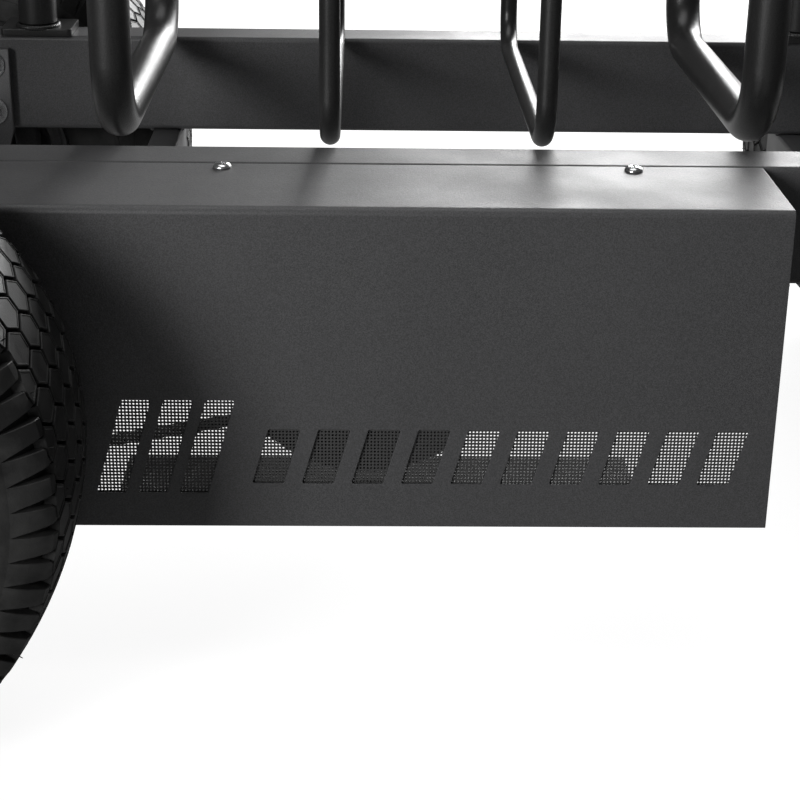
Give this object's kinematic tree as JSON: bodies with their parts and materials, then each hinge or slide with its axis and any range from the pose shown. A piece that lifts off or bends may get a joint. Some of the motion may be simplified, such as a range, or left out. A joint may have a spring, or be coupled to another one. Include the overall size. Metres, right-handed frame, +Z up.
{
  "type": "weight sled",
  "caption": "Wheeled weight sled with a load rack, push handles and a belt driven magnetic brake behind a side cover.",
  "frame": {"origin": "on the ground, midway between the axles and between the tyres", "axes": "+X along the sled, away from the driven axle; +Y away from the side cover; +Z up"},
  "size_m": [1.29, 0.874, 0.9999],
  "materials": {
    "powder_black": "fine textured satin powder coat",
    "mesh_black": "satin",
    "tyre_rubber": "moulded",
    "rim_steel": "satin",
    "zinc_steel": "bright zinc plate",
    "brushed_steel": "turned",
    "belt_rubber": "matt",
    "grip_rubber": "matt",
    "knob_plastic": "fine grained"
  },
  "bodies": {
    "chassis": {"near_rail": "powder_black", "far_rail": "powder_black", "rear_crossmember": "powder_black", "front_crossmember": "powder_black", "rear_end_member": "powder_black", "front_end_member": "powder_black", "side_cover": "powder_black", "drive_tray": "powder_black", "rear_near_plate": "powder_black", "rear_far_plate": "powder_black", "front_near_plate": "powder_black", "front_far_plate": "powder_black", "flywheel_housing": "powder_black", "brake_bush": "powder_black", "near_rack_hoop": "powder_black", "far_rack_hoop": "powder_black", "rack_end_bar_rear": "powder_black", "rack_end_bar_front": "powder_black", "rack_bar_1": "powder_black", "rack_bar_2": "powder_black", "rear_near_socket": "powder_black", "rear_far_socket": "powder_black", "front_near_socket": "powder_black", "front_far_socket": "powder_black", "vent_mesh": "mesh_black", "cover_screw_1": "zinc_steel", "cover_screw_2": "zinc_steel", "cover_screw_3": "zinc_steel", "rear_near_bearing": "brushed_steel", "rear_far_bearing": "brushed_steel", "front_axle": "brushed_steel", "drive_belt": "belt_rubber"},
    "rear_wheels": {"rear_axle": "brushed_steel", "axle_pulley": "brushed_steel", "rear_near_tyre": "tyre_rubber", "rear_near_rim": "rim_steel", "rear_far_tyre": "tyre_rubber", "rear_far_rim": "rim_steel"},
    "flywheel_set": {"flywheel": "brushed_steel", "flywheel_shaft": "brushed_steel", "flywheel_pulley": "brushed_steel"},
    "front_near_wheel": {"front_near_tyre": "tyre_rubber", "front_near_rim": "rim_steel"},
    "front_far_wheel": {"front_far_tyre": "tyre_rubber", "front_far_rim": "rim_steel"},
    "brake_selector": {"brake_shaft": "brushed_steel", "magnet_yoke": "brushed_steel", "brake_lever": "powder_black", "lever_knob": "knob_plastic"},
    "rear_handle": {"rear_handle_frame": "powder_black", "rear_near_grip": "grip_rubber", "rear_far_grip": "grip_rubber"},
    "front_handle": {"front_handle_frame": "powder_black", "front_near_grip": "grip_rubber", "front_far_grip": "grip_rubber"},
    "tow_ring_body": {"tow_ring": "zinc_steel"},
    "rear_near_clamp": {"rear_near_clamp_knob": "knob_plastic"},
    "rear_far_clamp": {"rear_far_clamp_knob": "knob_plastic"},
    "front_near_clamp": {"front_near_clamp_knob": "knob_plastic"},
    "front_far_clamp": {"front_far_clamp_knob": "knob_plastic"}
  },
  "joints": [
    {"name": "rear_axle_spin", "type": "hinge", "parent": "chassis", "child": "rear_wheels", "pos_m": [-0.455, 0, 0.19], "axis": [0, 1, 0], "continuous": true},
    {"name": "flywheel_spin", "type": "hinge", "parent": "chassis", "child": "flywheel_set", "pos_m": [-0.1, -0.205, 0.208], "axis": [0, 1, 0], "continuous": true},
    {"name": "front_near_wheel_spin", "type": "hinge", "parent": "chassis", "child": "front_near_wheel", "pos_m": [0.455, -0.3645, 0.19], "axis": [0, 1, 0], "continuous": true},
    {"name": "front_far_wheel_spin", "type": "hinge", "parent": "chassis", "child": "front_far_wheel", "pos_m": [0.455, 0.3645, 0.19], "axis": [0, 1, 0], "continuous": true},
    {"name": "brake_lever_turn", "type": "hinge", "parent": "chassis", "child": "brake_selector", "pos_m": [0.075, -0.205, 0.213], "axis": [0, -1, 0], "range_deg": [0, 25]},
    {"name": "rear_handle_slide", "type": "slide", "parent": "chassis", "child": "rear_handle", "axis": [0, 0, 1], "range_m": [0, 0.09]},
    {"name": "front_handle_slide", "type": "slide", "parent": "chassis", "child": "front_handle", "axis": [0, 0, 1], "range_m": [0, 0.09]},
    {"name": "tow_ring_swing", "type": "hinge", "parent": "chassis", "child": "tow_ring_body", "pos_m": [0.618, 0.0508, 0.275], "axis": [0, -1, 0], "range_deg": [0, 80]},
    {"name": "rear_near_clamp_turn", "type": "hinge", "parent": "chassis", "child": "rear_near_clamp", "pos_m": [-0.581, -0.1529, 0.4], "axis": [-1, 0, 0], "continuous": true},
    {"name": "rear_far_clamp_turn", "type": "hinge", "parent": "chassis", "child": "rear_far_clamp", "pos_m": [-0.581, 0.2545, 0.4], "axis": [-1, 0, 0], "continuous": true},
    {"name": "front_near_clamp_turn", "type": "hinge", "parent": "chassis", "child": "front_near_clamp", "pos_m": [0.581, -0.1529, 0.4], "axis": [1, 0, 0], "continuous": true},
    {"name": "front_far_clamp_turn", "type": "hinge", "parent": "chassis", "child": "front_far_clamp", "pos_m": [0.581, 0.2545, 0.4], "axis": [1, 0, 0], "continuous": true}
  ],
  "couplings": [
    {"joint": "flywheel_spin", "follows": "rear_axle_spin", "ratio": 3}
  ]
}
